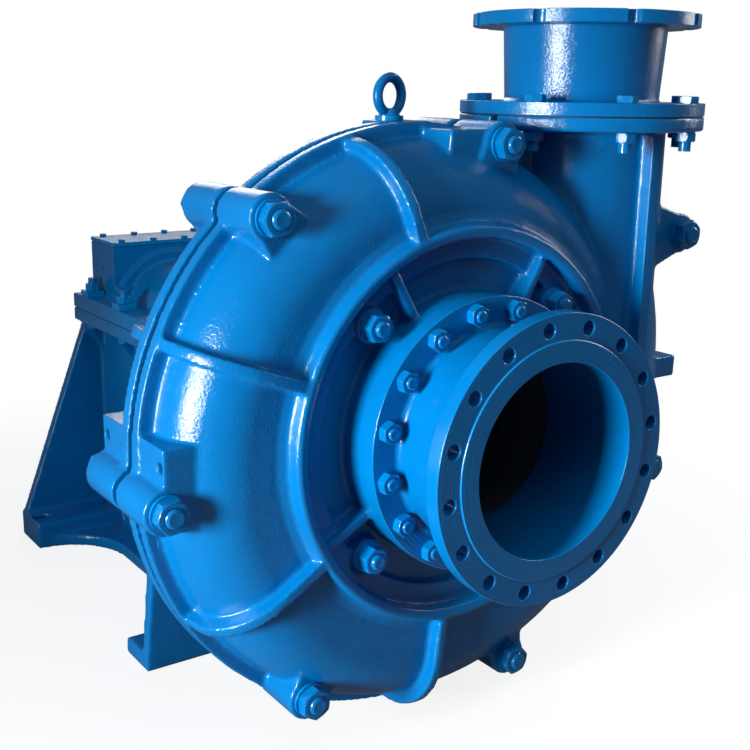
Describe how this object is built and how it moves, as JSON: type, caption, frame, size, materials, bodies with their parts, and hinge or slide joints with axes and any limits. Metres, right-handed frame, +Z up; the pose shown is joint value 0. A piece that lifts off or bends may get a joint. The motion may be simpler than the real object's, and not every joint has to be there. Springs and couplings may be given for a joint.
{
  "type": "slurry pump",
  "caption": "Horizontal double-casing centrifugal slurry pump with flanged suction and discharge pipes, ribbed split volute, metal liners, packed seal and pedestal-mounted bearing cartridge.",
  "frame": {"origin": "on the base plane under the shaft axis, at the centre of the four foot slots", "axes": "+Y along the shaft from the suction flange to the drive end, +Z up, +X to the side of the discharge pipe (right when looking along +Y)"},
  "size_m": [1.32, 1.96, 1.392],
  "materials": {
    "casting_paint": "glossy blue enamel over cast iron",
    "pedestal_paint": "glossy blue enamel over cast iron",
    "housing_paint": "glossy blue enamel over cast iron",
    "fastener_paint": "glossy blue enamel over steel",
    "wet_iron": "bare abrasion-resistant white iron",
    "machined_steel": "turned and oiled",
    "bronze": "machined bronze",
    "seal_rubber": "matt black rubber",
    "packing_fibre": "greased plaited fibre"
  },
  "bodies": {
    "pump_frame": {"pedestal_bracket": "pedestal_paint", "pedestal_front_plate": "pedestal_paint", "pedestal_sides": "pedestal_paint", "pedestal_rear_plate": "pedestal_paint", "pedestal_rails": "pedestal_paint", "rear_casing": "casting_paint", "front_casing": "casting_paint", "volute_liner": "wet_iron", "front_liner": "wet_iron", "rear_liner": "wet_iron", "suction_spool": "casting_paint", "discharge_spool": "casting_paint", "suction_studs": "fastener_paint", "suction_nuts": "fastener_paint", "suction_gasket": "seal_rubber", "discharge_joint_bolts": "fastener_paint", "discharge_joint_nuts": "fastener_paint", "discharge_gasket": "seal_rubber", "casing_studs": "fastener_paint", "casing_nuts": "fastener_paint", "casing_washers": "fastener_paint", "liner_studs": "fastener_paint", "liner_nuts": "fastener_paint", "liner_washers": "fastener_paint", "lifting_eyebolt": "fastener_paint", "stuffing_box": "casting_paint", "box_studs": "machined_steel", "box_nuts": "machined_steel", "neck_bush": "bronze", "packing_rings": "packing_fibre", "lantern_ring": "bronze", "gland_studs": "machined_steel", "pedestal_studs": "fastener_paint", "pedestal_nuts": "fastener_paint", "hold_down_bolts": "fastener_paint", "clamp_blocks": "casting_paint", "adjusting_screws": "machined_steel"},
    "bearing_cartridge": {"bearing_housing": "housing_paint", "housing_cover": "housing_paint", "cover_screws": "fastener_paint", "front_bearing_cover": "housing_paint", "rear_bearing_cover": "housing_paint", "bearing_cover_bolts": "machined_steel", "front_outer_race": "machined_steel", "rear_outer_race": "machined_steel"},
    "rotor": {"shaft": "machined_steel", "impeller": "wet_iron", "shaft_sleeve": "machined_steel", "release_ring": "machined_steel", "slinger": "seal_rubber", "bearing_spacer": "machined_steel", "front_inner_race": "machined_steel", "rear_inner_race": "machined_steel", "bearing_locknut": "machined_steel"},
    "front_roller_set": {"front_rollers": "machined_steel", "front_cage": "bronze"},
    "rear_roller_set": {"rear_rollers": "machined_steel", "rear_cage": "bronze"},
    "gland_follower": {"gland": "machined_steel", "gland_nuts": "machined_steel"}
  },
  "joints": [
    {"name": "cartridge_adjust", "type": "slide", "parent": "pump_frame", "child": "bearing_cartridge", "axis": [0, 1, 0], "range_m": [-0.003, 0.003]},
    {"name": "shaft_spin", "type": "hinge", "parent": "bearing_cartridge", "child": "rotor", "pos_m": [0, 0, 0.626], "axis": [0, 1, 0], "continuous": true},
    {"name": "front_cage_spin", "type": "hinge", "parent": "bearing_cartridge", "child": "front_roller_set", "pos_m": [0, -0.274, 0.626], "axis": [0, 1, 0], "continuous": true},
    {"name": "rear_cage_spin", "type": "hinge", "parent": "bearing_cartridge", "child": "rear_roller_set", "pos_m": [0, 0.371, 0.626], "axis": [0, 1, 0], "continuous": true},
    {"name": "gland_slide", "type": "slide", "parent": "pump_frame", "child": "gland_follower", "axis": [0, 1, 0], "range_m": [0, 0.025]}
  ],
  "couplings": [
    {"joint": "front_cage_spin", "follows": "shaft_spin", "ratio": 0.4364},
    {"joint": "rear_cage_spin", "follows": "shaft_spin", "ratio": 0.4364}
  ]
}
